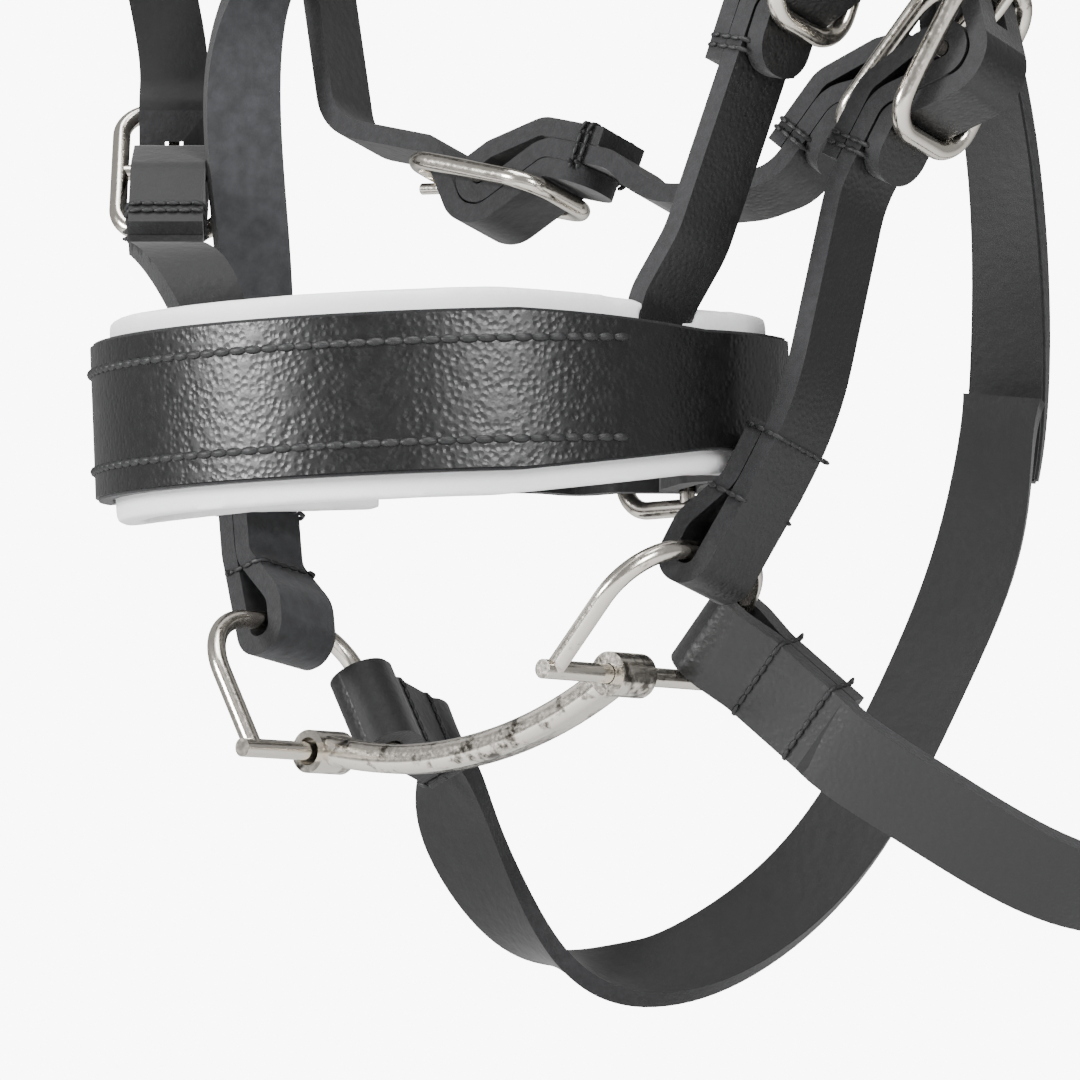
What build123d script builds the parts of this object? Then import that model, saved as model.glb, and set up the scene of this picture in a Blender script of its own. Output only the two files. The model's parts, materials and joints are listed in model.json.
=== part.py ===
"""Miniature English bridle with a D-ring, mullen-mouth bit, as a bench assembly of straps, buckles and bit.

The horse faces -Y, +X is its left (near) side and +Z is up. Sizes are in millimetres. Everything is
laid out from the middle of the noseband loop; the origin, on the poll under the headstrap, is set at export.
"""
import os
from math import atan2, cos, degrees, radians, sin

from build123d import *

# ---- leather ----
STRAP_W = 7.0          # width of cheekpieces, hangers and chin strap
BILLET_W = 6.6         # width of the strap ends that go through a buckle
REIN_W = 8.0           # width of the reins
LEATHER_T = 1.8        # thickness of every strap
LAYER_GAP = 0.1        # air between two layers that lie on each other
PITCH = LEATHER_T + LAYER_GAP

# ---- buckles: an oval wire frame with a centre bar and a pin tongue ----
BUCKLE_WIRE = 1.7
BUCKLE_HALF_W = 5.0    # wire centre to centre bar's middle, across the strap
BUCKLE_HALF_L = 7.85   # wire centre to centre bar, along the strap
BUCKLE_CORNER = 3.0
BAR_D = 1.5
TONGUE_D = 1.1
TONGUE_FIT = 0.08      # running clearance of the tongue's eye on the bar
TONGUE_SWING = 8.0     # degrees that the punched hole leaves the tongue

# ---- bit ----
RING_WIRE = 1.75
RING_BAR = 21.6        # length of the D's straight bar, with its two ends
RING_FOOT = 9.3        # half distance between the D's two legs
RING_H = 14.3          # straight bar to the top of the D
RING_CORNER = 6.0
SLEEVE_D = 4.0
SLEEVE_L = 4.4
SLEEVE_FIT = 0.06      # running clearance of the near sleeve on its bar
SLEEVE_LOOSE = 0.42    # clearance of the far sleeve, where the linkage is open
MOUTH_SAG = 3.3        # how far the mouthpiece bows between its sleeves
MOUTH_T = 2.7
MOUTH_W = 3.8
RING_SPLAY_NEAR = 43.6 # degrees that each D leans out from upright
RING_SPLAY_FAR = 29.5

# ---- noseband loop: two half circles joined by short straight sides ----
NOSE_R = 29.5          # outside of the leather band
NOSE_SIDE = 3.3        # half length of the straight side
BAND_H = 14.0
BAND_END_H = 10.0
PAD_T = 2.6
PAD_PROUD = 2.0        # padding that stands out above and below the band
NOSE_TILT = 3.4        # degrees, rear up
NOSE_END = 118.0       # degrees from the front where band and padding end

HEAD_W = 88.0          # near cheek buckle's bar to the far one, across the headstrap's plane


def vec(*c):
    return Vector(*c)


def plane_at(origin, along, near_across):
    """A strap's plane: local x runs up the strap, y is its outside face and z lies across it."""
    x = Vector(*along).normalized()
    z = Vector(*near_across)
    z = (z - x * z.dot(x)).normalized()
    return Plane(origin=origin, x_dir=x, z_dir=z)


def on(plane, x, y, z=0.0):
    return plane.from_local_coords(Vector(x, y, z))


def strap(plane, points, radii, width=STRAP_W, thick=LEATHER_T):
    """Flat leather whose middle line runs through points of the plane, turned by tangent arcs."""
    spots = [on(plane, x, y) for x, y in points]
    if len(spots) > 2:
        line = FilletPolyline(*spots, radius=radii)
    else:
        line = Polyline(*spots)
    start = Plane(origin=line @ 0, x_dir=plane.z_dir, z_dir=line % 0)
    return solid_of(sweep(start * Rectangle(width, thick), path=line))


def ribbon(sections, width=STRAP_W, thick=LEATHER_T):
    """Flat leather that twists: each section is its middle, the way across it and the way it runs."""
    faces = []
    for middle, across, along in sections:
        along = Vector(*along).normalized()
        across = Vector(*across)
        across = (across - along * across.dot(along)).normalized()
        faces.append(Plane(origin=middle, x_dir=across, z_dir=along) * Rectangle(width, thick))
    return solid_of(loft(faces))


def solid_of(shape):
    solids = shape.solids()
    return max(solids, key=lambda s: s.volume)


def box_in(plane, x, y, z, size, turn=0.0):
    """A box in a strap's plane, turned about the way across."""
    return solid_of(plane * (Location((x, y, z), (0, 0, turn)) * Box(*size)))


def rod(a, b, d):
    a, b = Vector(*a), Vector(*b)
    return solid_of(extrude(Plane(origin=a, z_dir=b - a) * Circle(d / 2), (b - a).length))


def round_end(body, tip, thick=LEATHER_T, radius=2.9):
    """Round the two corners of a strap's free end."""
    tip = Vector(*tip)
    corners = [e for e in body.edges() if abs(e.length - thick) < 0.02 and (e.center() - tip).length < 5.5]
    corners.sort(key=lambda e: (e.center() - tip).length)
    return solid_of(body.fillet(radius, corners[:2]))


# ---- the layers at a buckle, in its own plane: bar at (0, 0), billet comes down from +x ----
RUN_Y = -(BUCKLE_WIRE / 2 + LAYER_GAP + LEATHER_T / 2) - PITCH - 0.15
BILLET_Y = RUN_Y + PITCH
WRAP_R = BAR_D / 2 + 0.08 + LEATHER_T / 2
SLOPE = radians(45.6)
UP = (cos(SLOPE), sin(SLOPE))
OUT = (-sin(SLOPE), cos(SLOPE))
BULGE_Y = WRAP_R + PITCH + 0.1
TAIL_X = -12.6
TIP_X = -12.4


def foot_x(run_y, offset):
    """Where a line at this distance outside the bar, on the slope, meets the strap's run."""
    return (run_y - offset / cos(SLOPE)) / (sin(SLOPE) / cos(SLOPE))


MAIN_FOOT = (foot_x(RUN_Y, WRAP_R), RUN_Y)
BILLET_FOOT = foot_x(BILLET_Y, WRAP_R + PITCH + 0.02)
BILLET_TOP = foot_x(BULGE_Y, WRAP_R + PITCH + 0.02)


def fold_points():
    """The main strap from its run, over the bar and down again as its tail."""
    c1 = (WRAP_R * (UP[0] + OUT[0]), WRAP_R * (UP[1] + OUT[1]))
    c2 = (WRAP_R * (UP[0] - OUT[0]), WRAP_R * (UP[1] - OUT[1]))
    bend = (c2[0] - UP[0] * (WRAP_R + 2.0), c2[1] - UP[1] * (WRAP_R + 2.0))
    heel = (MAIN_FOOT[0] + 0.8, RUN_Y - PITCH)
    return [MAIN_FOOT, c1, c2, bend, heel, (TAIL_X, RUN_Y - PITCH)]


FOLD_RADII = [3.1, WRAP_R * 0.97, WRAP_R * 0.97, 1.5, 2.6]


def billet_points(far_x):
    """The billet from above the buckle, over the bar and down to its tip."""
    return [(far_x, BILLET_Y), (-BILLET_FOOT, BILLET_Y), (-BILLET_TOP, BULGE_Y), (BILLET_TOP, BULGE_Y),
            (BILLET_FOOT, BILLET_Y), (TIP_X, BILLET_Y)]


BILLET_RADII = [1.2, 3.0, 3.0, 1.2]


def slot_fold(body, plane):
    """Cut the slot that lets the tongue's eye through the fold."""
    return solid_of(body - box_in(plane, -0.2, 0.2, 0, (6.2, 6.6, TONGUE_D + 1.0)))


TONGUE_TILT = degrees(atan2(BUCKLE_WIRE / 2 + TONGUE_D / 2 + 0.07, BUCKLE_HALF_L))


def punch_billet(body, plane):
    """Cut the hole that the tongue comes through, long enough for its small swing."""
    tilt = TONGUE_TILT + TONGUE_SWING / 2
    reach = 4.6
    x, y = reach * cos(radians(tilt)), reach * sin(radians(tilt))
    height = TONGUE_D + reach * radians(TONGUE_SWING) + 0.5
    return solid_of(body - box_in(plane, x, y, 0, (8.0, height, TONGUE_D + 0.7), tilt))


def buckle_frame(plane):
    ring = plane * (Location((0, 0, 0), (90, 0, 0)) * RectangleRounded(
        2 * BUCKLE_HALF_L, 2 * BUCKLE_HALF_W, BUCKLE_CORNER))
    path = ring.faces()[0].outer_wire()
    start = Plane(origin=path @ 0, z_dir=path % 0)
    wire = sweep(start * Circle(BUCKLE_WIRE / 2), path=path)
    bar = rod(on(plane, 0, 0, -BUCKLE_HALF_W), on(plane, 0, 0, BUCKLE_HALF_W), BAR_D)
    return solid_of(wire + bar)


def buckle_tongue(plane):
    eye_r = BAR_D / 2 + TONGUE_FIT
    tilt = radians(TONGUE_TILT)
    reach = BUCKLE_HALF_L + 1.25
    root = eye_r + 0.2
    pin = rod(on(plane, root * cos(tilt), root * sin(tilt)),
              on(plane, reach * cos(tilt), reach * sin(tilt)), TONGUE_D)
    half = TONGUE_D / 2 + 0.12
    eye = rod(on(plane, 0, 0, -half), on(plane, 0, 0, half), 2 * (eye_r + 0.5))
    hole = rod(on(plane, 0, 0, -TONGUE_D), on(plane, 0, 0, TONGUE_D), 2 * eye_r)
    return solid_of(pin + eye - hole)


# ---- bit places ----
NEAR_LOOP = vec(26.8, 5.4, -13.85)     # the D's wire in the near cheekpiece's fold
FAR_LOOP = vec(-26.8, 7.0, -17.2)
BAR_Y = 4.8


def ring_places(loop, side, splay):
    """The D's bar middle and its plane: local x along the bar to the rear, local y up the D."""
    lean = radians(splay)
    up = vec(side * sin(lean), 0, cos(lean))
    bar = vec(loop.X, BAR_Y, loop.Z) - up * RING_H
    return bar, Plane(origin=bar, x_dir=(0, 1, 0), z_dir=vec(0, 1, 0).cross(up))


NEAR_BAR, NEAR_RING = ring_places(NEAR_LOOP, 1, RING_SPLAY_NEAR)
FAR_BAR, FAR_RING = ring_places(FAR_LOOP, -1, RING_SPLAY_FAR)


def d_ring(plane):
    """One wire D: a straight bar with plain ends, and a bow welded a little inside them."""
    spots = [on(plane, x, y) for x, y in
             [(-RING_FOOT, 0), (-RING_FOOT, RING_H), (RING_FOOT, RING_H), (RING_FOOT, 0)]]
    bow = FilletPolyline(*spots, radius=RING_CORNER)
    start = Plane(origin=bow @ 0, z_dir=bow % 0)
    wire = sweep(start * Circle(RING_WIRE / 2), path=bow)
    bar = rod(on(plane, -RING_BAR / 2, 0), on(plane, RING_BAR / 2, 0), RING_WIRE)
    return solid_of(wire + bar)


def mouthpiece():
    """A bowed bar between two sleeves that turn on the D's bars."""
    span = (NEAR_BAR - FAR_BAR).length
    chord = (NEAR_BAR - FAR_BAR).normalized()
    flat = Plane(origin=(NEAR_BAR + FAR_BAR) * 0.5, x_dir=chord, z_dir=(0, 1, 0))
    down = -1 if flat.y_dir.Z > 0 else 1
    ends = span / 2 - 1.2
    bow = ThreePointArc(on(flat, -ends, 0), on(flat, 0, down * MOUTH_SAG), on(flat, ends, 0))
    start = Plane(origin=bow @ 0, x_dir=flat.z_dir, z_dir=bow % 0)
    bar = sweep(start * RectangleRounded(MOUTH_W, MOUTH_T, 1.2), path=bow)
    body = bar
    for middle in (NEAR_BAR, FAR_BAR):
        half = vec(0, SLEEVE_L / 2, 0)
        body = body + rod(middle - half, middle + half, SLEEVE_D)
    for middle, fit in ((NEAR_BAR, SLEEVE_FIT), (FAR_BAR, SLEEVE_LOOSE)):
        half = vec(0, SLEEVE_L, 0)
        body = body - rod(middle - half, middle + half, RING_WIRE + 2 * fit)
    return solid_of(body)


# ---- near side: cheekpiece and headstrap share one leaning plane ----
NEAR_BUCKLE = vec(45.8, 17.1, 29.1)
HEAD = plane_at(NEAR_BUCKLE, NEAR_BUCKLE - NEAR_LOOP, (0, 1, 0))
BIT_R = RING_WIRE / 2 + 0.2 + LEATHER_T / 2


def bit_fold(foot, outside, knee):
    """A cheekpiece's lower end in its own plane: tail, fold under the D's wire, and up to the knee."""
    x = foot
    return [(x + 12.2, outside - PITCH), (x + 6.5, outside - PITCH), (x + 1.5, -BIT_R), (x - 2.9, -BIT_R),
            (x - 2.9, BIT_R), (x + 7.5, outside), (x + knee, outside)]


BIT_RADII = [3.0, 3.0, BIT_R * 0.97, BIT_R * 0.97, 6.0, 30.0]


def near_cheek():
    foot = HEAD.to_local_coords(NEAR_LOOP).X
    points = bit_fold(foot, 2.55, 15.0) + [(-14.5, RUN_Y)] + fold_points()
    return slot_fold(strap(HEAD, points, BIT_RADII + [12.0] + FOLD_RADII), HEAD)


# ---- far side: the cheekpiece rises to a higher buckle in the same headstrap plane ----
FAR_LOW = plane_at(FAR_LOOP, (-7.0, 4.3, 25.2), (0, -1, 0))
FAR_LEAN = radians(14.5)
far_up = HEAD.x_dir * cos(FAR_LEAN) - HEAD.y_dir * sin(FAR_LEAN)
FAR_BUCKLE = on(HEAD, -5.4, -HEAD_W)
FAR_HEAD = Plane(origin=FAR_BUCKLE, x_dir=far_up, z_dir=-HEAD.z_dir)


def far_cheek():
    low = bit_fold(0.0, 3.4, 20.0)
    lower = strap(FAR_LOW, low, BIT_RADII[:-1])
    upper = slot_fold(strap(FAR_HEAD, [(-15.0, RUN_Y)] + fold_points(), FOLD_RADII), FAR_HEAD)
    start, stop = on(FAR_LOW, 19.9, 3.4), on(FAR_HEAD, -14.9, RUN_Y)
    turned = (-0.5, -0.866, 0.05)
    middle = ribbon([
        (start, FAR_LOW.z_dir, FAR_LOW.x_dir),
        (vec(-34.3, 10.5, 9.0), (-0.3, -0.95, 0.1), (-0.1, 0.0, 1)),
        (vec(-34.2, 9.7, 20.0), turned, (-0.02, -0.03, 1)),
        (vec(-35.2, 9.6, 36.0), turned, (-0.12, 0.05, 1)),
        (stop, FAR_HEAD.z_dir, FAR_HEAD.x_dir)])
    return solid_of(lower + middle + upper)


# ---- headstrap: near billets, arch over the poll and far billets in one piece ----
SIDE_GAP = 9.5         # front strap's middle to rear strap's middle
ARCH = [(48.8, 62.0), (41.0, 82.0), (19.0, 93.0), (-12.0, 93.0), (-33.0, 82.0)]
ARCH_RADII = [20.0, 14.0, 18.0, 18.0, 11.0]
FAR_RISE = 12.0        # length of the far billet's straight top
THROAT = Plane(origin=on(HEAD, 0, 0, SIDE_GAP), x_dir=HEAD.x_dir, z_dir=HEAD.z_dir)
SLIP = Plane(origin=on(HEAD, 0, 0, -9.5), x_dir=HEAD.x_dir, z_dir=HEAD.z_dir)


def spot(plane, x, z):
    """The point of a strap's plane at this width and height."""
    o, n = plane.origin, plane.z_dir
    return vec(x, o.Y - (n.X * (x - o.X) + n.Z * (z - o.Z)) / n.Y, z)


def local_in(plane, place):
    p = plane.to_local_coords(place)
    return (p.X, p.Y)


def arch_line():
    return [local_in(HEAD, spot(HEAD, x, z)) for x, z in ARCH]


def halfway(a, b, share=0.5):
    return (a[0] + (b[0] - a[0]) * share, a[1] + (b[1] - a[1]) * share)


def between(plane, other, points):
    """Points of one buckle's plane in the coordinates of the parallel plane that the strap lies in."""
    return [local_in(other, on(plane, x, y)) for x, y in points]


def headstrap():
    near = billet_points(11.0)[::-1]
    far = between(FAR_HEAD, HEAD, billet_points(FAR_RISE))
    arch = arch_line()
    radii = BILLET_RADII + [8.0] + ARCH_RADII + [6.0] + BILLET_RADII
    front = strap(HEAD, near + arch + far, radii, BILLET_W)
    front = round_end(front, on(HEAD, TIP_X, BILLET_Y))
    front = round_end(front, on(FAR_HEAD, TIP_X, BILLET_Y))
    front = punch_billet(punch_billet(front, HEAD), FAR_HEAD)
    behind = Plane(origin=on(HEAD, 0, 0, SIDE_GAP / 2), x_dir=HEAD.x_dir, z_dir=HEAD.z_dir)
    ends = [halfway(arch[0], arch[1], 0.55)], [halfway(arch[4], far[0], 0.9)]
    crown = strap(behind, ends[0] + arch[1:] + ends[1], ARCH_RADII[1:], SIDE_GAP + BILLET_W)
    throat_near = between(THROAT_NEAR, THROAT, billet_points(16.0))
    throat_far = between(THROAT_FAR, THROAT, billet_points(20.0))
    drop = [local_in(THROAT, spot(THROAT, x, z)) for x, z in [(-38.4, 68.0), (-36.5, 46.0)]]
    a = strap(THROAT, [halfway(arch[0], arch[1], 0.6), halfway(arch[0], arch[1], 0.2)] + throat_near,
              [14.0, 5.0] + BILLET_RADII, BILLET_W)
    b = strap(THROAT, [halfway(arch[4], drop[0], 0.3)] + drop + throat_far,
              [10.0, 10.0, 6.0] + BILLET_RADII, BILLET_W)
    a = punch_billet(round_end(a, on(THROAT_NEAR, TIP_X, BILLET_Y)), THROAT_NEAR)
    b = punch_billet(round_end(b, on(THROAT_FAR, TIP_X, BILLET_Y)), THROAT_FAR)
    return solid_of(front + crown + a + b)


def throat_plane(place, toward, side):
    """A throat buckle's plane: local x points to its billet, local y away from the throat."""
    return Plane(origin=place, x_dir=(toward - place).normalized(), z_dir=THROAT.z_dir * side)


THROAT_NEAR = throat_plane(spot(THROAT, 33.2, 30.5), spot(THROAT, 41.0, 41.5), 1)
THROAT_FAR = throat_plane(spot(THROAT, -11.7, 23.6), spot(THROAT, -22.5, 26.2), -1)


def throatlatch():
    near = between(THROAT_NEAR, THROAT, [(-14.5, RUN_Y)] + fold_points())
    far = between(THROAT_FAR, THROAT, [(-14.5, RUN_Y)] + fold_points())
    dip = [local_in(THROAT, spot(THROAT, x, z)) for x, z in [(8.0, 20.0), (17.0, 20.0)]]
    body = strap(THROAT, far[::-1] + dip + near,
                 FOLD_RADII[::-1] + [5.0, 10.0, 10.0, 5.0] + FOLD_RADII, STRAP_W - 0.4)
    return slot_fold(slot_fold(body, THROAT_NEAR), THROAT_FAR)


# ---- noseband ----
BAND_MID = NOSE_R - LEATHER_T / 2
PAD_OUT = NOSE_R - LEATHER_T
TILT = Rotation(NOSE_TILT, 0, 0)


def loop_arc(radius, height, end_deg, z_low):
    """A wall that follows the loop's outside from one end, round the nose, to the other."""
    thick = radius[1] - radius[0]
    spread = radians(end_deg)
    ring = []
    for r in radius:
        tail = (r * sin(spread), NOSE_SIDE - r * cos(spread))
        ring.append((r, tail))
    (r0, t0), (r1, t1) = ring
    outer = (ThreePointArc((t1[0], t1[1]), *[_rim(r1, (90 + end_deg) / 2)], (r1, NOSE_SIDE))
             + Line((r1, NOSE_SIDE), (r1, -NOSE_SIDE))
             + ThreePointArc((r1, -NOSE_SIDE), (0, -NOSE_SIDE - r1), (-r1, -NOSE_SIDE))
             + Line((-r1, -NOSE_SIDE), (-r1, NOSE_SIDE))
             + ThreePointArc((-r1, NOSE_SIDE), _flip(_rim(r1, (90 + end_deg) / 2)), (-t1[0], t1[1])))
    inner = (Line((-t1[0], t1[1]), (-t0[0], t0[1]))
             + ThreePointArc((-t0[0], t0[1]), _flip(_rim(r0, (90 + end_deg) / 2)), (-r0, NOSE_SIDE))
             + Line((-r0, NOSE_SIDE), (-r0, -NOSE_SIDE))
             + ThreePointArc((-r0, -NOSE_SIDE), (0, -NOSE_SIDE - r0), (r0, -NOSE_SIDE))
             + Line((r0, -NOSE_SIDE), (r0, NOSE_SIDE))
             + ThreePointArc((r0, NOSE_SIDE), _rim(r0, (90 + end_deg) / 2), (t0[0], t0[1]))
             + Line((t0[0], t0[1]), (t1[0], t1[1])))
    assert thick > 0
    return solid_of(extrude(Plane((0, 0, z_low)) * make_face(outer + inner), height))


def _rim(r, deg):
    return (r * sin(radians(deg)), NOSE_SIDE - r * cos(radians(deg)))


def _flip(p):
    return (-p[0], p[1])


def side_profile(extra):
    """The band's height seen from the side: full over the nose, lower toward its ends."""
    full, end = BAND_H / 2 + extra, BAND_END_H / 2 + extra
    half = [(-50, full), (-18, full), (2, end + 0.3), (30, end)]
    outline = half + [(y, -z) for y, z in half[::-1]]
    return solid_of(extrude(Plane.YZ * make_face(Polyline(*outline, close=True)), 60, both=True))


def noseband_band():
    wall = loop_arc((NOSE_R - LEATHER_T, NOSE_R), BAND_H, NOSE_END, -BAND_H / 2)
    return TILT * solid_of(wall & side_profile(0))


HANG_X = PAD_OUT - LEATHER_T / 2 - 0.08
NEAR_HANG = (HANG_X, -0.8)
FAR_HANG = (-HANG_X, -2.4)
CHIN_Z = -1.2
CHIN_DEG = 104.0       # where the chin straps leave the sandwich


def noseband_padding():
    high = BAND_H + 2 * PAD_PROUD
    wall = loop_arc((PAD_OUT - PAD_T, PAD_OUT), high, NOSE_END - 1, -high / 2)
    pad = TILT * solid_of(wall & side_profile(PAD_PROUD))
    room = LEATHER_T + 0.3
    pad = pad - strap(HANG_NEAR, near_hanger_line(), [5.0], STRAP_W + 0.4, room)
    pad = pad - Pos(-HANG_X - 0.6, FAR_HANG[1], 6) * Box(room + 1.2, STRAP_W + 0.4, 20)
    for side, stop in ((1, CHIN_STOP_NEAR), (-1, CHIN_STOP_FAR)):
        pad = pad - strap(Plane.XY.offset(CHIN_Z), chin_path(side, stop), [CHIN_R * 0.97], STRAP_W + 0.3, room)
    return solid_of(pad)


CHIN_STOP_NEAR = 138.0
CHIN_STOP_FAR = 150.0
CHIN_R = PAD_OUT - LEATHER_T / 2 - 0.1


def chin_path(side, stop_deg):
    """The chin strap's first stretch: from between band and padding to the back of the loop."""
    a, b = radians(CHIN_DEG), radians(stop_deg)
    bow = CHIN_R / cos((b - a) / 2)
    start = (side * CHIN_R * sin(a), NOSE_SIDE - CHIN_R * cos(a))
    turn = (side * bow * sin((a + b) / 2), NOSE_SIDE - bow * cos((a + b) / 2))
    end = (side * CHIN_R * sin(b), NOSE_SIDE - CHIN_R * cos(b))
    return [start, turn, end]


CHIN_BAR = vec(-1.0, NOSE_SIDE + PAD_OUT + 3.2, CHIN_Z)
CHIN = Plane(origin=CHIN_BAR, x_dir=(-1, 0, 0), z_dir=(0, 0, -1))


def chin_straps():
    """The near half carries the buckle, the far half ends as the billet."""
    flat = Plane.XY.offset(CHIN_Z)
    near = between(CHIN, flat, [(-14.5, RUN_Y)] + fold_points())
    far = between(CHIN, flat, billet_points(12.0))
    start = CHIN_R * 0.97
    run = strap(flat, chin_path(1, CHIN_STOP_NEAR) + near, [start, 9.0, 3.0] + FOLD_RADII)
    billet = strap(flat, chin_path(-1, CHIN_STOP_FAR) + far, [start, 6.0, 2.0] + BILLET_RADII, BILLET_W)
    billet = punch_billet(round_end(billet, on(CHIN, TIP_X, BILLET_Y)), CHIN)
    return slot_fold(run, CHIN), billet


# ---- noseband hangers and the strap over the poll that carries them ----
NEAR_HANG_BUCKLE = vec(39.5, 6.4, 38.9)
HANG_NEAR = plane_at(NEAR_HANG_BUCKLE, (7.0, 7.2, 31.4), (0, 1, 0))
FAR_HANG_BUCKLE = vec(-44.6, 9.6, 26.9)
HANG_FAR = plane_at(FAR_HANG_BUCKLE, (-0.389, 0.432, 0.814), (-0.743, -0.669, 0))
FAR_POCKET = Plane(origin=(0.15 - HANG_X, FAR_HANG[1], 0), x_dir=(0, 0, 1), z_dir=(0, -1, 0))


def near_hanger_line():
    line = [(HANG_X - 0.25, 0.5), (HANG_X - 0.25, 7.6), (29.4, 13.0)]
    return [local_in(HANG_NEAR, spot(HANG_NEAR, x, z)) for x, z in line]


def near_hanger():
    body = strap(HANG_NEAR, near_hanger_line() + fold_points(), [5.0, 10.0] + FOLD_RADII)
    return slot_fold(body, HANG_NEAR)


def far_hanger():
    sewn = strap(FAR_POCKET, [(-3.5, 0), (7.7, 0)], [])
    upper = slot_fold(strap(HANG_FAR, [(-13.5, RUN_Y)] + fold_points(), FOLD_RADII), HANG_FAR)
    twist = ribbon([
        (on(FAR_POCKET, 7.6, 0), FAR_POCKET.z_dir, FAR_POCKET.x_dir),
        (on(FAR_POCKET, 10.5, 1.0), (-0.25, -0.95, 0), (-0.5, 0.15, 1)),
        (on(HANG_FAR, -13.4, RUN_Y), HANG_FAR.z_dir, HANG_FAR.x_dir)])
    return solid_of(sewn + twist + upper)


def sliphead():
    """The noseband's strap over the poll, in front of the headstrap, with a billet at each end."""
    near = strap(HANG_NEAR, billet_points(12.0), BILLET_RADII, BILLET_W)
    near = punch_billet(round_end(near, on(HANG_NEAR, TIP_X, BILLET_Y)), HANG_NEAR)
    far = strap(HANG_FAR, billet_points(9.5), BILLET_RADII, BILLET_W)
    far = punch_billet(round_end(far, on(HANG_FAR, TIP_X, BILLET_Y)), HANG_FAR)
    arch = arch_line()
    far_end = between(FAR_HEAD, HEAD, [(FAR_RISE, BILLET_Y)])[0]
    ends = halfway(arch[0], arch[1], 0.3), halfway(arch[4], far_end, 0.9)
    over = strap(SLIP, [ends[0]] + arch[1:] + [ends[1]], ARCH_RADII[1:], BILLET_W)
    run_near = Vector(*(arch[1][i] - arch[0][i] for i in (0, 1)), 0)
    rise_near = HEAD.x_dir * run_near.X + HEAD.y_dir * run_near.Y
    rise_far = far_up
    link_near = ribbon([
        (on(HANG_NEAR, 11.9, BILLET_Y), HANG_NEAR.z_dir, HANG_NEAR.x_dir),
        (vec(44.5, 13.6, 60.0), SLIP.z_dir, (0.06, 0.25, 1)),
        (on(SLIP, *halfway(ends[0], arch[1], 0.02)), SLIP.z_dir, rise_near)], BILLET_W)
    link_far = ribbon([
        (on(HANG_FAR, 9.4, BILLET_Y), HANG_FAR.z_dir, HANG_FAR.x_dir),
        (vec(-47.2, 12.0, 40.0), (-0.743, -0.669, 0), (0.02, -0.05, 1)),
        (vec(-46.0, 8.0, 50.0), (-0.45, -0.88, 0.1), (0.12, -0.25, 1)),
        (vec(-43.8, 6.2, 61.0), -SLIP.z_dir, (0.15, 0.0, 1)),
        (on(SLIP, *halfway(ends[1], arch[4], 0.02)), -SLIP.z_dir, rise_far)], BILLET_W)
    return solid_of(near + link_near + over + link_far + far)


# ---- browband ----
BROW_Z = 75.0
BROW_W = 7.0
BROW_PAD_W = 11.0
BROW_PAD_T = 2.2
BROW = Plane(origin=spot(HEAD, 4.0, BROW_Z), x_dir=vec(0, 0, 1).cross(HEAD.z_dir) * -1,
             z_dir=(vec(0, 0, 1).cross(HEAD.z_dir) * -1).cross(HEAD.z_dir))


def browband():
    """One strap round the forehead; each end turns back as a loop round the straps of the head."""
    near = [(33.1, -25.7), (37.1, -20.4), (35.6, -10.0), (35.6, 14.6), (43.9, 14.6), (43.9, -14.6)]
    far = [(-44.2, -14.6), (-44.2, 14.6), (-34.2, 14.6), (-34.2, -14.0), (-38.46, -20.5), (-36.7, -23.5)]
    line = near + [(27.0, -37.0), (-31.0, -37.0)] + far
    radii = [6.0, 10.0, 3.0, 3.0, 12.0, 18.0, 18.0, 12.0, 3.0, 3.0, 8.0, 3.0]
    return strap(BROW, line, radii, BROW_W)


def browband_padding():
    back = LEATHER_T / 2 + 0.1 + BROW_PAD_T / 2
    line = [(31.9, -27.0), (25.95, -37.0 + back), (-29.8, -37.0 + back), (-35.2, -25.7)]
    return strap(BROW, line, [18.0 - back, 18.0 - back], BROW_PAD_W, BROW_PAD_T)


# ---- reins: each folds round the D's rear leg, hangs, and laps under its upper half ----
REIN_SEWN = 13.5
REIN_T_UP = 5.05       # middle of the fold, up the D's leg from the bar
REIN_LAP = 1.2         # air between a rein and its upper half, so that the rein can swing with its D


def rein_plane(bar, ring, along):
    up = ring.y_dir
    root = bar + vec(0, RING_FOOT, 0) + up * REIN_T_UP
    along = vec(*along)
    return Plane(origin=root, x_dir=along - up * along.dot(up), z_dir=up)


REIN_NEAR = rein_plane(NEAR_BAR, NEAR_RING, (0.69, 0.30, -0.658))
REIN_FAR = rein_plane(FAR_BAR, FAR_RING, (-0.25, 0.90, -0.25))


def ribbon_through(sections):
    """A strap through hand-placed sections, middle and way across; it always runs toward the next one."""
    made = []
    for i, (middle, across) in enumerate(sections):
        before = sections[max(i - 1, 0)][0]
        after = sections[min(i + 1, len(sections) - 1)][0]
        made.append((vec(*middle), across, vec(*after) - vec(*before)))
    return ribbon(made, REIN_W)


def rein(plane, sections):
    lap = PITCH / 2
    line = [(REIN_SEWN, -lap), (4.5, -lap), (1.2, -BIT_R), (-BIT_R, -BIT_R),
            (-BIT_R, BIT_R), (1.2, BIT_R), (4.5, lap), (REIN_SEWN, lap)]
    fold = strap(plane, line, [3.0, 2.0, BIT_R * 0.97, BIT_R * 0.97, 2.0, 3.0], REIN_W)
    first = tuple(on(plane, REIN_SEWN - 0.4, -lap))
    second = tuple(on(plane, REIN_SEWN + 2.5, -lap))
    across = tuple(plane.z_dir)
    return solid_of(fold + ribbon_through([(first, across), (second, across)] + sections))


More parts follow.
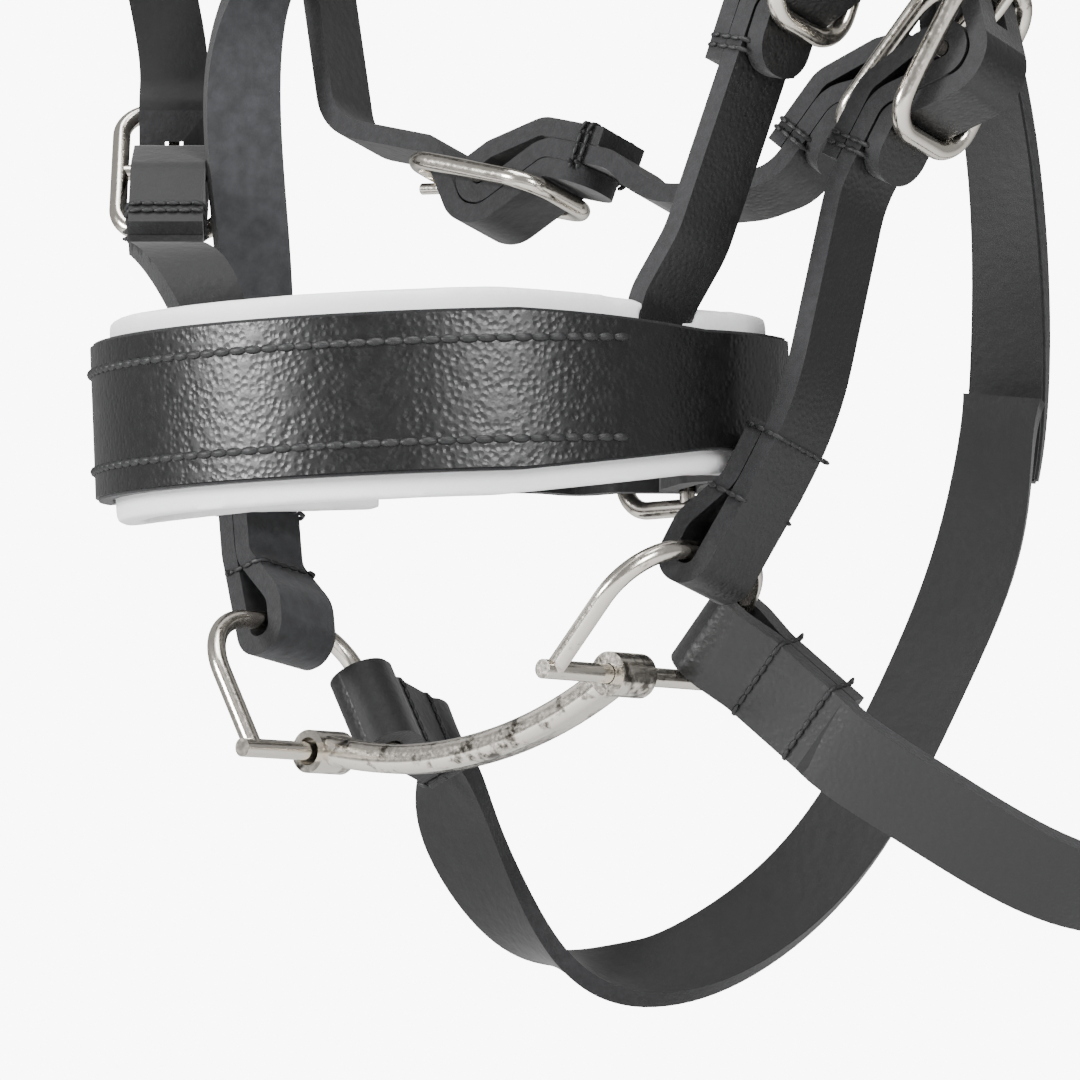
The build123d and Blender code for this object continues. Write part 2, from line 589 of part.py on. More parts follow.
NEAR_SWEEP = [
    ((37.2, 22.6, -36.0), (0.72, 0.0, 0.69)), ((42.8, 30.0, -41.2), (0.74, 0.1, 0.66)),
    ((46.6, 40.0, -43.6), (0.76, 0.15, 0.62)), ((48.0, 52.0, -42.0), (0.80, 0.2, 0.5)),
    ((46.9, 64.0, -36.3), (0.86, 0.2, 0.35))]
NEAR_RISE = [
    ((47.8, 55.6, -41.0), (0.80, 0.2, 0.5)), ((46.5, 66.0, -35.0), (0.86, 0.2, 0.35)),
    ((42.0, 79.0, -22.0), (0.92, 0.1, 0.2)), ((35.0, 88.0, -3.0), (0.95, 0.0, 0.1)),
    ((27.5, 90.0, 18.0), (0.97, 0.0, 0.1)), ((20.5, 86.0, 41.0), (0.98, 0.0, 0.1)),
    ((12.5, 75.0, 63.0), (1.0, 0.0, 0.1)), ((8.0, 60.5, 81.5), (1.0, 0.0, 0.05)),
    ((5.0, 50.0, 90.9), (1.0, 0.0, 0.0)), ((3.9, 39.0, 95.3), (1.0, 0.0, 0.0)),
    ((3.9, 28.4, 97.6), (1.0, 0.0, 0.0))]
FAR_SWEEP = [
    ((-27.6, 31.0, -33.6), (0.75, 0.3, -0.58)), ((-27.5, 34.0, -39.0), (0.85, 0.3, -0.4)),
    ((-25.0, 37.0, -44.6), (0.88, 0.2, -0.4)), ((-21.0, 41.5, -48.6), (0.9, 0.1, -0.4)),
    ((-16.5, 47.4, -49.0), (0.85, 0.2, -0.42)), ((-12.0, 54.0, -45.6), (0.75, 0.35, -0.45)),
    ((-8.0, 60.5, -39.4), (0.68, 0.45, -0.45)), ((-5.0, 67.0, -30.0), (0.62, 0.5, -0.42)),
    ((-3.0, 74.0, -17.6), (0.62, 0.5, -0.38)), ((-2.0, 80.5, -3.0), (0.7, 0.4, -0.3)),
    ((-1.8, 83.0, 8.0), (0.76, 0.3, -0.2))]
FAR_RISE_LINE = [
    ((-1.9, 81.6, 0.6), (0.72, 0.38, -0.28)), ((-1.7, 83.3, 10.5), (0.78, 0.28, -0.2)),
    ((-1.6, 83.8, 22.0), (0.87, 0.15, -0.1)), ((-2.0, 80.5, 42.0), (0.95, 0.0, 0.0)),
    ((-2.2, 70.0, 62.0), (1.0, 0.0, 0.0)), ((0.0, 57.5, 79.0), (1.0, 0.0, 0.0)),
    ((2.6, 48.0, 88.3), (1.0, 0.0, 0.0)), ((3.9, 38.5, 93.2), (1.0, 0.0, 0.0)),
    ((3.9, 28.0, 95.5), (1.0, 0.0, 0.0))]


def lifted(sections, away):
    """The same sections moved out of the strap's plane by one thickness and the lap's air."""
    step = LEATHER_T + REIN_LAP
    moved = []
    for i, (middle, across) in enumerate(sections):
        share = step if i < 2 else 0.0
        moved.append((tuple(middle[k] + away[k] * share for k in range(3)), across))
    return moved


def rein_top_near():
    return ribbon_through(lifted(NEAR_RISE, (0.36, 0.50, -0.79)))


def rein_top_far():
    return ribbon_through(lifted(FAR_RISE_LINE, (-0.54, 0.83, -0.15)))


# ---- export, with the origin on the poll under the headstrap ----
POLL = spot(HEAD, 3.5, 93.0 - LEATHER_T / 2)
BUCKLES = {"cheek_near": HEAD, "cheek_far": FAR_HEAD, "hanger_near": HANG_NEAR, "hanger_far": HANG_FAR,
           "throat_near": THROAT_NEAR, "throat_far": THROAT_FAR, "chin": CHIN}


def build():
    chin_run, chin_billet = chin_straps()
    parts = {
        "noseband_band": noseband_band(), "noseband_padding": noseband_padding(),
        "noseband_hanger_near": near_hanger(), "noseband_hanger_far": far_hanger(),
        "chin_strap": chin_run, "chin_billet": chin_billet,
        "noseband_headstrap": sliphead(), "bridle_headstrap": headstrap(),
        "cheekpiece_near": near_cheek(), "cheekpiece_far": far_cheek(), "throatlatch": throatlatch(),
        "browband": browband(), "browband_padding": browband_padding(),
        "d_ring_near": d_ring(NEAR_RING), "d_ring_far": d_ring(FAR_RING), "mouthpiece": mouthpiece(),
        "rein_near": rein(REIN_NEAR, NEAR_SWEEP), "rein_far": rein(REIN_FAR, FAR_SWEEP),
        "rein_top_near": rein_top_near(), "rein_top_far": rein_top_far()}
    for name, plane in BUCKLES.items():
        parts[name + "_buckle"] = buckle_frame(plane)
        parts[name + "_tongue"] = buckle_tongue(plane)
    return parts


if __name__ == "__main__":
    os.makedirs("parts", exist_ok=True)
    for node, shape in build().items():
        export_step(Pos(-POLL.X, -POLL.Y, -POLL.Z) * shape, f"parts/{node}.step")
        print(node, round(shape.volume, 1))
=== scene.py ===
# %% [markdown]
# The object is a miniature leather bridle that hangs as if on a small horse's head. The frame already holds
# every strap, buckle and bit piece in its true place. This script gives them leather, thread and nickel.

# %% Load the frame
import json
from math import atan2, cos, radians, sin

import bmesh
import bpy
from mathutils import Matrix, Vector
from mathutils.bvhtree import BVHTree


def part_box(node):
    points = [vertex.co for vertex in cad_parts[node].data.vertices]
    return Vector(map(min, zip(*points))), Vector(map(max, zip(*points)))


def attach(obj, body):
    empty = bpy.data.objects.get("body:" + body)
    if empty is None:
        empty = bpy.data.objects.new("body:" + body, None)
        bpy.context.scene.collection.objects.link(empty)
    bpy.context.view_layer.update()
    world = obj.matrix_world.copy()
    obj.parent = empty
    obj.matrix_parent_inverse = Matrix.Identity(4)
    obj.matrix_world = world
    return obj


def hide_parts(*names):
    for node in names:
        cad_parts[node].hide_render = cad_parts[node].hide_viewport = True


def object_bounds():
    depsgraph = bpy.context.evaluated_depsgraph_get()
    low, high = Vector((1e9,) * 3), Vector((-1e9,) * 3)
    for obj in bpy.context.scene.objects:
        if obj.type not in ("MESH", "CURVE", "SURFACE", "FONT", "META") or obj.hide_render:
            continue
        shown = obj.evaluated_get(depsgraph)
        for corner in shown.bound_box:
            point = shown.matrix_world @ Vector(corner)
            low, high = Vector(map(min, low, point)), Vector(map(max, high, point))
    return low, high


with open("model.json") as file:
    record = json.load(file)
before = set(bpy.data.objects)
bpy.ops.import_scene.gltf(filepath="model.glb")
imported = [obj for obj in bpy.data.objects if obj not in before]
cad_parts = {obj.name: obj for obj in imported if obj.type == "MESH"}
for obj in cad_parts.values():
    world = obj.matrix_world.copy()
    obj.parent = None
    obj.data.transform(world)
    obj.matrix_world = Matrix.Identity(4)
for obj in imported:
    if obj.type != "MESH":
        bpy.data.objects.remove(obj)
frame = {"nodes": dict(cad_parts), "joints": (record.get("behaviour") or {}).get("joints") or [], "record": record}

MM = 0.001
cad_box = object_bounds()
print("frame loaded:", len(frame["nodes"]), "nodes", cad_box)

# %% [markdown]
# Lengths below are given in millimetres from the middle of the noseband's loop, because the maker lays the
# bridle out from there. One function moves them to the frame, whose origin is on the poll.

# %% Places
NOSE_MIDDLE = Vector((-3.5, -27.19, -92.1))
MUZZLE_TILT = radians(3.4)


def place(x, y, z):
    return (Vector((x, y, z)) + NOSE_MIDDLE) * MM


# %% [markdown]
# A long lens, far away, keeps the straps' sizes comparable from front to back, as in product pictures. The
# camera stands a little under the noseband and looks up at it from the near side.

# %% Camera
CAMERA_AWAY = 650.0
PICTURE_WIDTH = 97.2
view_right = Vector((0.743, 0.669, 0.0)).normalized()
view_back = Vector((0.666, -0.740, -0.0871)).normalized()
view_up = view_back.cross(view_right).normalized()
view_back = view_right.cross(view_up)
camera_data = bpy.data.cameras.new("studio_camera")
camera_data.sensor_width = 36.0
camera_data.lens = camera_data.sensor_width * CAMERA_AWAY / PICTURE_WIDTH
camera_data.clip_start = 0.01
camera = bpy.data.objects.new("studio_camera", camera_data)
bpy.context.scene.collection.objects.link(camera)
spot = place(5.55, 6.34, -11.43) + view_back * CAMERA_AWAY * MM
turned = Matrix((view_right, view_up, view_back)).transposed().to_4x4()
camera.matrix_world = Matrix.Translation(spot) @ turned
bpy.context.scene.camera = camera
print("camera at", tuple(round(v, 3) for v in spot))

# %% [markdown]
# Black leather shows its surface only by what it reflects. Large soft lamps give long, dull highlights on
# the noseband, and a white surround gives thin bright lines on the wire. The surround looks brighter than the
# light it gives, so that the background is white and the leather stays dark.

# %% Light and floor
world = bpy.data.worlds.new("white_room")
bpy.context.scene.world = world
world.use_nodes = True
surround = world.node_tree.nodes["Background"]
surround.inputs[0].default_value = (1.0, 1.0, 1.0, 1.0)
seen = world.node_tree.nodes.new("ShaderNodeLightPath")
level = world.node_tree.nodes.new("ShaderNodeMapRange")
LIGHT_GIVEN = 0.42
LIGHT_SEEN = 9.0
level.inputs["To Min"].default_value = LIGHT_GIVEN
level.inputs["To Max"].default_value = LIGHT_SEEN
world.node_tree.links.new(seen.outputs["Is Camera Ray"], level.inputs["Value"])
world.node_tree.links.new(level.outputs[0], surround.inputs[1])


def lamp(name, where, look_at, size, power):
    data = bpy.data.lights.new(name, "AREA")
    data.size = size
    data.energy = power
    thing = bpy.data.objects.new(name, data)
    bpy.context.scene.collection.objects.link(thing)
    thing.location = where
    thing.rotation_euler = (look_at - where).to_track_quat("-Z", "Y").to_euler()
    return thing


aim = place(0, -10, 0)
lamp("left_softbox", aim + Vector((-0.16, -0.42, 0.10)), aim, 0.16, 3.4)
lamp("right_softbox", aim + Vector((0.52, -0.20, 0.16)), aim, 0.22, 3.2)
lamp("top_softbox", aim + Vector((0.10, -0.10, 0.60)), aim, 0.40, 5.0)

FLOOR_BELOW = 85.0
FLOOR_HALF = 3.0
floor_z = cad_box[0][2] - FLOOR_BELOW * MM
floor_mesh = bpy.data.meshes.new("pale_floor")
floor_corners = [(x * FLOOR_HALF, y * FLOOR_HALF, floor_z) for x, y in ((-1, -1), (1, -1), (1, 1), (-1, 1))]
floor_mesh.from_pydata(floor_corners, [], [(0, 1, 2, 3)])
floor = bpy.data.objects.new("pale_floor", floor_mesh)
bpy.context.scene.collection.objects.link(floor)
print("lamps: 3, floor at", round(floor_z, 3))

# %% [markdown]
# Every finish is built from a few shader nodes. One function turns a hex colour into linear light, and one
# adds a node with its settings and links.

# %% Shader helpers


def tone(hex_colour):
    """A hex colour as linear red, green, blue and alpha."""
    parts = [int(hex_colour[i:i + 2], 16) / 255 for i in (1, 3, 5)]
    return [c / 12.92 if c < 0.04045 else ((c + 0.055) / 1.055) ** 2.4 for c in parts] + [1.0]


def add(tree, kind, links=None, **settings):
    """Add a node; number or name keys in `links` join sockets or set their values."""
    made = tree.nodes.new(kind)
    for key, value in settings.items():
        setattr(made, key, value)
    for key, value in (links or {}).items():
        if isinstance(value, bpy.types.NodeSocket):
            tree.links.new(value, made.inputs[key])
        else:
            made.inputs[key].default_value = value
    return made


def finish(name, **values):
    """A new material and its main shader with the given socket values."""
    material = bpy.data.materials.new(name)
    material.use_nodes = True
    shader = material.node_tree.nodes["Principled BSDF"]
    for key, value in values.items():
        shader.inputs[key.replace("_", " ")].default_value = value
    return material, material.node_tree, shader


def mottle(tree, where, scale, low, high, detail=4.0):
    """Noise between two colours."""
    noise = add(tree, "ShaderNodeTexNoise", {"Vector": where, "Scale": scale, "Detail": detail})
    return add(tree, "ShaderNodeMix", {0: noise.outputs[0], 6: low, 7: high}, data_type="RGBA").outputs[2]


# %% [markdown]
# The straps are goat leather, dyed black and pressed with a pore pattern. The pores stand about 0.6 mm
# apart and are only shallow, so they break the highlight into small ticks. A thin finish coat adds gloss.

# %% Goat-grain black leather


def goat_grain(name, pore_mm, depth, gloss):
    material, tree, shader = finish(name, Specular_IOR_Level=0.5, Coat_Weight=0.12, Coat_Roughness=0.3)
    where = add(tree, "ShaderNodeTexCoord").outputs["Object"]
    tree.links.new(mottle(tree, where, 160.0, tone("#060606"), tone("#0d0d0e")), shader.inputs["Base Color"])
    pores = add(tree, "ShaderNodeTexVoronoi", {"Vector": where, "Scale": 1 / (pore_mm * MM),
                                               "Randomness": 0.9})
    pits = add(tree, "ShaderNodeMapRange", {0: pores.outputs["Distance"], 1: 0.0, 2: 0.6, 3: 0.0, 4: 1.0})
    folds = add(tree, "ShaderNodeTexNoise", {"Vector": where, "Scale": 900.0, "Detail": 3.0})
    height = add(tree, "ShaderNodeMath", {0: pits.outputs[0], 1: folds.outputs[0]}, operation="ADD")
    bump = add(tree, "ShaderNodeBump", {"Height": height.outputs[0], "Strength": 0.8,
                                        "Distance": depth * MM})
    tree.links.new(bump.outputs[0], shader.inputs["Normal"])
    rough = add(tree, "ShaderNodeMapRange", {0: folds.outputs[0], 1: 0.2, 2: 0.8,
                                             3: gloss - 0.05, 4: gloss + 0.08})
    tree.links.new(rough.outputs[0], shader.inputs["Roughness"])
    return material


band_leather = goat_grain("goat_grain_leather_glossy", 0.62, 0.055, 0.33)
strap_leather = goat_grain("goat_grain_leather_satin", 0.55, 0.04, 0.42)
print("leather grains: 0.62 mm and 0.55 mm")

# %% [markdown]
# Where a strap was cut, the fibres show: a dull dark grey with no grain. The back of a strap, its flesh side,
# is brushed suede, lighter still and with a soft nap. Most straps have their back dyed and rubbed smooth.

# %% Cut edge and flesh side


def raw_leather(name, low, high, grain, rough):
    material, tree, shader = finish(name, Roughness=rough, Specular_IOR_Level=0.3, Sheen_Weight=0.15)
    where = add(tree, "ShaderNodeTexCoord").outputs["Object"]
    tree.links.new(mottle(tree, where, grain, tone(low), tone(high), 6.0), shader.inputs["Base Color"])
    nap = add(tree, "ShaderNodeTexNoise", {"Vector": where, "Scale": grain * 2.2, "Detail": 6.0})
    bump = add(tree, "ShaderNodeBump", {"Height": nap.outputs[0], "Strength": 0.7, "Distance": 0.10 * MM})
    tree.links.new(bump.outputs[0], shader.inputs["Normal"])
    return material


cut_edge = raw_leather("cut_leather_edge", "#0e0e0f", "#2b2b2d", 1500.0, 0.75)
flesh_side = raw_leather("suede_flesh_side", "#1b1b1c", "#404144", 700.0, 0.85)
dyed_back = raw_leather("dyed_smooth_back", "#080808", "#151516", 500.0, 0.55)

# %% [markdown]
# The padding's cover is smooth white leather, drawn over foam. It is matt and soft, with a hardly visible
# grain.

# %% Soft white leather
white_leather, tree, shader = finish("soft_white_leather", Roughness=0.5, Specular_IOR_Level=0.4,
                                     Subsurface_Weight=0.05, Subsurface_Scale=0.001)
where = add(tree, "ShaderNodeTexCoord").outputs["Object"]
tree.links.new(mottle(tree, where, 120.0, tone("#f1f1f2"), tone("#fbfbfb")), shader.inputs["Base Color"])
grain = add(tree, "ShaderNodeTexVoronoi", {"Vector": where, "Scale": 2200.0})
bump = add(tree, "ShaderNodeBump", {"Height": grain.outputs["Distance"], "Strength": 0.35,
                                    "Distance": 0.04 * MM})
tree.links.new(bump.outputs[0], shader.inputs["Normal"])

# %% [markdown]
# Buckles and bit are bent steel wire with bright nickel on it, slightly warm, with fine polishing lines. On
# the mouthpiece the plate is patchy and dark where it was soldered.

# %% Nickel plate


def nickel(name, scorch):
    material, tree, shader = finish(name, Metallic=1.0)
    where = add(tree, "ShaderNodeTexCoord").outputs["Object"]
    cloud = add(tree, "ShaderNodeTexNoise", {"Vector": where, "Scale": 380.0, "Detail": 7.0,
                                             "Roughness": 0.65})
    ramp = add(tree, "ShaderNodeValToRGB", {0: cloud.outputs[0]})
    ramp.color_ramp.elements[0].position = scorch
    ramp.color_ramp.elements[0].color = tone("#57534d")
    ramp.color_ramp.elements[1].position = scorch + 0.09
    ramp.color_ramp.elements[1].color = tone("#d6d0c6")
    tree.links.new(ramp.outputs[0], shader.inputs["Base Color"])
    lines = add(tree, "ShaderNodeTexNoise", {"Vector": where, "Scale": 2600.0, "Detail": 2.0})
    rough = add(tree, "ShaderNodeMapRange", {0: lines.outputs[0], 1: 0.3, 2: 0.7, 3: 0.13, 4: 0.27})
    tree.links.new(rough.outputs[0], shader.inputs["Roughness"])
    bump = add(tree, "ShaderNodeBump", {"Height": lines.outputs[0], "Strength": 0.25, "Distance": 0.02 * MM})
    tree.links.new(bump.outputs[0], shader.inputs["Normal"])
    return material


bright_nickel = nickel("nickel_plated_wire", 0.28)
scorched_nickel = nickel("nickel_plate_scorched", 0.38)

# %% [markdown]
# The seams are sewn by hand with thick waxed black thread.

# %% Waxed thread
waxed_thread, tree, shader = finish("waxed_black_thread", Roughness=0.5, Specular_IOR_Level=0.45)
where = add(tree, "ShaderNodeTexCoord").outputs["Object"]
tree.links.new(mottle(tree, where, 900.0, tone("#0c0c0c"), tone("#222224")), shader.inputs["Base Color"])
fibre = add(tree, "ShaderNodeTexNoise", {"Vector": where, "Scale": 5200.0, "Detail": 3.0})
bump = add(tree, "ShaderNodeBump", {"Height": fibre.outputs[0], "Strength": 0.8, "Distance": 0.06 * MM})
tree.links.new(bump.outputs[0], shader.inputs["Normal"])
print("finishes:", len(bpy.data.materials))

# %% [markdown]
# The wire pieces already have their true shape, so they keep the frame's mesh and only get a finish.

# %% Wire
record = frame["record"]
slot_of = {s["node"]: s["material_slot"] for s in record["subparts"]}
body_of = {node: body for body, nodes in record["behaviour"]["bodies"].items() for node in nodes}


def dress(node, material):
    mesh = node.data
    mesh.materials.clear()
    mesh.materials.append(material)


for name, node in frame["nodes"].items():
    if slot_of[name] == "nickel_wire":
        dress(node, scorched_nickel if name == "mouthpiece" else bright_nickel)

# %% [markdown]
# A strap is cut from a sheet, so it has two broad faces and a cut edge all round. The script tells them apart
# by shooting a ray into the leather: it comes out after one thickness under a broad face, and after one
# width under a cut edge. The rims between them are then rounded, as the maker does with an edge slicker.

# %% Straps
ONE_LAYER = 2.6        # a ray that stays in the leather for longer than this runs along the strap's width
RAY_START = 0.02       # the ray starts this far inside, so that it misses the face it comes from
RIM = 0.28


def face_kind(bvh, middle, normal, head):
    hit = bvh.ray_cast(middle - normal * RAY_START * MM, -normal, 20 * MM)
    if hit[0] is None or (hit[0] - middle).length > ONE_LAYER * MM:
        return 1
    return 0 if normal.dot(middle - head) > 0 else 2


def leather(name, grain):
    """A copy of a strap from the frame with rounded rims and the three faces of leather."""
    bm = bmesh.new()
    bm.from_mesh(frame["nodes"][name].data)
    bmesh.ops.remove_doubles(bm, verts=bm.verts, dist=1e-6)
    bvh = BVHTree.FromBMesh(bm)
    bmesh.ops.dissolve_limit(bm, angle_limit=radians(0.6), verts=bm.verts, edges=bm.edges)
    head = Vector((0, place(0, 12, 0).y, 0))
    for face in bm.faces:
        middle = face.calc_center_median()
        head.z = middle.z
        face.material_index = face_kind(bvh, middle, face.normal, head)
        face.smooth = True
    rims = [e for e in bm.edges if len(e.link_faces) == 2 and e.calc_face_angle(0) > radians(50)
            and e.calc_length() > 0.25 * MM]
    bmesh.ops.bevel(bm, geom=rims, offset=RIM * MM, segments=2, affect="EDGES", clamp_overlap=True,
                    material=-1)
    bmesh.ops.triangulate(bm, faces=bm.faces)
    for edge in bm.edges:
        edge.smooth = edge.calc_face_angle(0) < radians(40)
    mesh = bpy.data.meshes.new(name + "_leather")
    bm.to_mesh(mesh)
    bm.free()
    for material in (grain, cut_edge, flesh_side if name == "cheekpiece_far" else dyed_back):
        mesh.materials.append(material)
    strap = bpy.data.objects.new(name + "_leather", mesh)
    bpy.context.scene.collection.objects.link(strap)
    body = body_of[name]
    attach(strap, body)
    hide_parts(name)
    return strap


straps = {name: leather(name, band_leather if name in ("noseband_band", "browband") else strap_leather)
          for name in slot_of if slot_of[name] == "black_leather"}
print("straps:", len(straps), "faces:", sum(len(s.data.polygons) for s in straps.values()))

# %% [markdown]
# A pad is foam in a thin skin. Its edges are full and round, so the block from the frame is rebuilt with
# small even faces and relaxed until the corners have gone.

# %% Padding


def cushion(name, steps):
    mesh = frame["nodes"][name].data.copy()
    pad = bpy.data.objects.new(name + "_cushion", mesh)
    bpy.context.scene.collection.objects.link(pad)
    bm = bmesh.new()
    bm.from_mesh(mesh)
    bmesh.ops.remove_doubles(bm, verts=bm.verts, dist=1e-6)
    bm.to_mesh(mesh)
    bm.free()
    grid = pad.modifiers.new("even_faces", "REMESH")
    grid.mode = "VOXEL"
    grid.voxel_size = 0.42 * MM
    relax = pad.modifiers.new("relaxed", "SMOOTH")
    relax.factor = 0.5
    relax.iterations = steps
    plain = bpy.data.meshes.new_from_object(pad.evaluated_get(bpy.context.evaluated_depsgraph_get()))
    pad.modifiers.clear()
    pad.data = plain
    plain.materials.clear()
    plain.materials.append(white_leather)
    for face in plain.polygons:
        face.use_smooth = True
    body = body_of[name]
    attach(pad, body)
    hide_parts(name)
    return pad


RELAX_STEPS = 7
pads = [cushion("noseband_padding", RELAX_STEPS), cushion("browband_padding", RELAX_STEPS)]
print("pads:", [len(p.data.polygons) for p in pads])

# %% [markdown]
# Stitches repeat along a seam, so Geometry Nodes lay them: the seam line is cut at an even pitch and each
# point gets one short plump thread, turned along the line.

# %% Stitch tree


def stitch_tree():
    tree = bpy.data.node_groups.new("hand_stitches", "GeometryNodeTree")
    face = tree.interface
    face.new_socket("Seam", in_out="INPUT", socket_type="NodeSocketGeometry")
    for label, value in (("Pitch", 1.0 * MM), ("Thread radius", 0.3 * MM), ("Stitch length", 0.8 * MM)):
        face.new_socket(label, in_out="INPUT", socket_type="NodeSocketFloat").default_value = value
    face.new_socket("Stitches", in_out="OUTPUT", socket_type="NodeSocketGeometry")
    start = add(tree, "NodeGroupInput").outputs
    line = add(tree, "GeometryNodeMeshToCurve", {0: start["Seam"]})
    points = add(tree, "GeometryNodeCurveToPoints", {"Curve": line.outputs[0], "Length": start["Pitch"]},
                 mode="LENGTH")
    thread = add(tree, "GeometryNodeMeshUVSphere", {"Segments": 8, "Rings": 6, "Radius": 1.0})
    half = add(tree, "ShaderNodeMath", {0: start["Stitch length"], 1: 0.5}, operation="MULTIPLY")
    thin = start["Thread radius"]
    size = add(tree, "ShaderNodeCombineXYZ", {0: thin, 1: thin, 2: half.outputs[0]})
    turn = add(tree, "FunctionNodeAlignRotationToVector", {"Vector": points.outputs["Tangent"]}, axis="Z")
    lay = add(tree, "GeometryNodeInstanceOnPoints", {"Points": points.outputs[0], "Rotation": turn.outputs[0],
                                                     "Instance": thread.outputs[0], "Scale": size.outputs[0]})
    real = add(tree, "GeometryNodeRealizeInstances", {0: lay.outputs[0]})
    smooth = add(tree, "GeometryNodeSetShadeSmooth", {0: real.outputs[0]})
    dyed = add(tree, "GeometryNodeSetMaterial", {0: smooth.outputs[0], "Material": waxed_thread})
    add(tree, "NodeGroupOutput", {0: dyed.outputs[0]})
    return tree


STITCHES = stitch_tree()


def sew(name, body, seams, pitch, thread, length):
    """Stitch along several seam lines, given as lists of points, and make one plain mesh."""
    verts, edges = [], []
    for seam in seams:
        first = len(verts)
        verts += [tuple(p) for p in seam]
        edges += [(first + i, first + i + 1) for i in range(len(seam) - 1)]
    lines = bpy.data.meshes.new(name)
    lines.from_pydata(verts, edges, [])
    seam_object = bpy.data.objects.new(name, lines)
    bpy.context.scene.collection.objects.link(seam_object)
    laid = seam_object.modifiers.new("stitches", "NODES")
    laid.node_group = STITCHES
    sockets = {s.name: s.identifier for s in STITCHES.interface.items_tree if s.in_out == "INPUT"}
    laid[sockets["Pitch"]] = pitch * MM
    laid[sockets["Thread radius"]] = thread / 2 * MM
    laid[sockets["Stitch length"]] = length * MM
    seam_object.update_tag()
    plain = bpy.data.meshes.new_from_object(seam_object.evaluated_get(bpy.context.evaluated_depsgraph_get()))
    seam_object.modifiers.clear()
    seam_object.data = plain
    plain.materials.clear()
    plain.materials.append(waxed_thread)
    plain.polygons.foreach_set("material_index", [0] * len(plain.polygons))
    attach(seam_object, body)
    print(name, "faces", len(plain.polygons))
    return seam_object


# %% [markdown]
# Two seams run along the noseband, 2.7 mm inside its edges, from one side to the other. Their points are
# taken to the nearest leather, so that the thread lies half in the surface.

# %% Noseband seams
band_bvh = BVHTree.FromPolygons([v.co for v in straps["noseband_band"].data.vertices],
                                [p.vertices for p in straps["noseband_band"].data.polygons])


BAND_OUT = 29.6        # just outside the band's leather
BAND_SIDE = 3.3        # half length of the loop's straight side
SEAM_UP = 4.35         # from the band's middle to each seam
SEAM_END = 0.86        # the seams draw together by this much where the band narrows
SEAM_FAR = -104        # degrees round the loop from its front
SEAM_NEAR = 78


def band_seam(side):
    seam = []
    for step in range(SEAM_FAR, SEAM_NEAR + 1):
        turn = radians(step)
        z = side * SEAM_UP
        y = (-BAND_SIDE if abs(step) < 90 else BAND_SIDE) - BAND_OUT * cos(turn)
        if abs(step) > 90:
            z *= SEAM_END
        x = BAND_OUT * sin(turn)
        probe = place(x * 1.05, y, z + y * MUZZLE_TILT)
        seam.append(band_bvh.find_nearest(probe)[0])
    return seam


sew("noseband_stitches", "bridle", [band_seam(1), band_seam(-1)], 1.6, 0.8, 1.8)

# %% [markdown]
# Where a strap folds round a buckle's bar or the bit, both layers are whipped together: the thread goes
# right round the strap. Each ring is a closed line round the two layers.

# %% Whipped folds


def whip(middle, along, across, width, thick):
    """A rectangular ring round a strap's section, in millimetres from `middle`, given in metres."""
    along = Vector(along).normalized()
    across = Vector(across)
    across = (across - along * across.dot(along)).normalized()
    out = across.cross(along)
    w, t = width / 2 * MM, thick / 2 * MM
    corners = [(w, t), (-w, t), (-w, -t), (w, -t), (w, t)]
    ring = []
    for (a, b), (c, d) in zip(corners, corners[1:]):
        steps = max(2, int(((c - a) ** 2 + (d - b) ** 2) ** 0.5 / (0.9 * MM)))
        for i in range(steps):
            f = i / steps
            ring.append(middle + across * (a + (c - a) * f) + out * (b + (d - b) * f))
    ring.append(ring[0].copy())
    return ring




def flat_against(direction, normal):
    """A unit direction with its part along a unit normal taken out."""
    direction = Vector(direction)
    return (direction - normal * direction.dot(normal)).normalized()


def buckle_run(name, joint):
    """Which way a strap runs through its buckle: the long way of the frame, towards the tongue's tip."""
    bar = Vector(joint["pos_m"])
    across = Vector(joint["axis"]).normalized()
    toward_tip = flat_against(sum(map(Vector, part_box(name + "_tongue")), Vector()) / 2 - bar, across)
    sideways = across.cross(toward_tip)
    reach = [flat_against(v.co - bar, across) * (v.co - bar).length
             for v in frame["nodes"][name + "_buckle"].data.vertices if (v.co - bar).length > 5.5 * MM]
    xx = sum(r.dot(toward_tip) ** 2 - r.dot(sideways) ** 2 for r in reach)
    xy = sum(2 * r.dot(toward_tip) * r.dot(sideways) for r in reach)
    lean = atan2(xy, xx) / 2
    return toward_tip * cos(lean) + sideways * sin(lean)


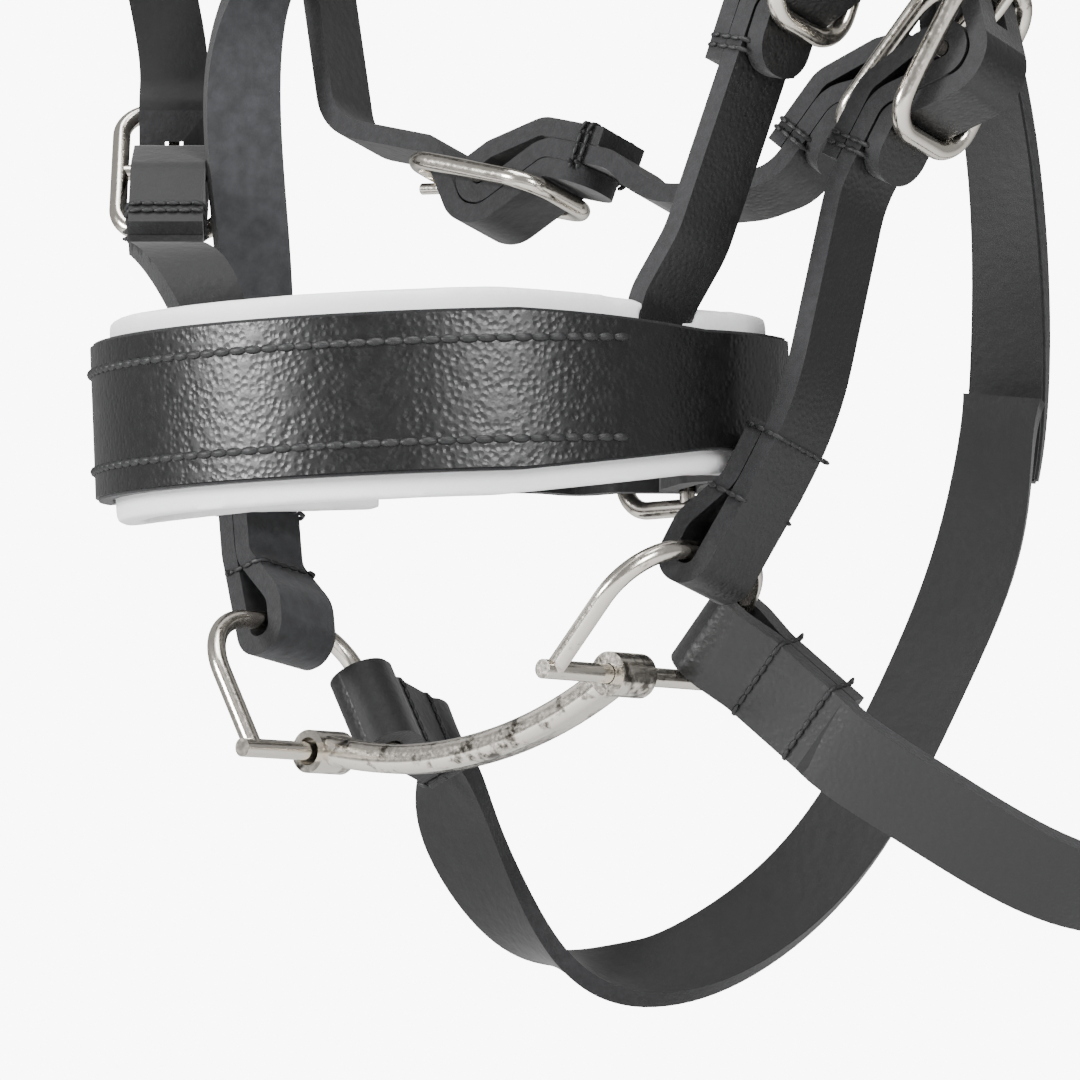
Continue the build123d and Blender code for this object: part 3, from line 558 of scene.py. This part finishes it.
BUCKLE_ROWS = (10.4, 11.3)     # below the bar
LAYERS_IN = 4.85               # from the bar in to the middle of the two layers
WHIP_WIDTH = 7.2
WHIP_THICK = 3.95
joints = {joint["name"]: joint for joint in frame["joints"]}
rings = []
for label, joint in joints.items():
    if label.endswith("_tongue_hinge"):
        run = buckle_run(label.replace("_tongue_hinge", ""), joint)
        across = Vector(joint["axis"])
        out = across.cross(run)
        for down in BUCKLE_ROWS:
            middle = Vector(joint["pos_m"]) - run * down * MM - out * LAYERS_IN * MM
            rings.append(whip(middle, run, across, WHIP_WIDTH, WHIP_THICK))

BIT_ROWS = (5.3, 11.6)         # above the D's wire
near_strap = joints["cheek_near_tongue_hinge"]
near_run = buckle_run("cheek_near", near_strap)
far_run = Vector((-7.0, 4.3, 25.2)).normalized()
for label, run, across, shift in (("ring_near_swing", near_run, Vector(near_strap["axis"]), 0.9),
                                  ("ring_far_swing", far_run, flat_against((0, -1, 0), far_run), 1.2)):
    out = across.cross(run)
    for up, lift in zip(BIT_ROWS, (shift, shift + 0.7)):
        middle = Vector(joints[label]["pos_m"]) + run * up * MM + out * lift * MM
        rings.append(whip(middle, run, across, WHIP_WIDTH, 4.2))
sew("fold_stitches", "bridle", rings, 1.15, 0.5, 1.3)

# %% [markdown]
# A rein folds round the D's rear leg. The leg leans as its D does, so the fold's place follows from the D's
# height, its lean and how far the leg stands behind the middle of the bar.

# %% Rein folds
RING_HEIGHT = 14.3
RING_LEG = 9.3
BAR_Y = 4.8
FOLD_UP = 5.05
REIN_ROWS = (5.4, 11.6)        # beyond the D's leg
NEAR_LEAN = radians(43.6)
FAR_LEAN = radians(29.5)
REINS = (("near", NEAR_LEAN, (0.69, 0.30, -0.658)), ("far", -FAR_LEAN, (-0.25, 0.90, -0.25)))
for side, lean, along in REINS:
    leg = Vector((sin(lean), 0, cos(lean)))
    loop = Vector(joints["ring_" + side + "_swing"]["pos_m"])
    loop.y = place(0, BAR_Y, 0).y
    fold = loop - leg * (RING_HEIGHT - FOLD_UP) * MM + Vector((0, RING_LEG, 0)) * MM
    run = flat_against(along, leg)
    both = [whip(fold + run * row * MM, run, leg, 8.2, WHIP_THICK) for row in REIN_ROWS]
    sew("bit_ring_" + side + "_rein_stitches", "bit_ring_" + side, both, 1.15, 0.5, 1.3)
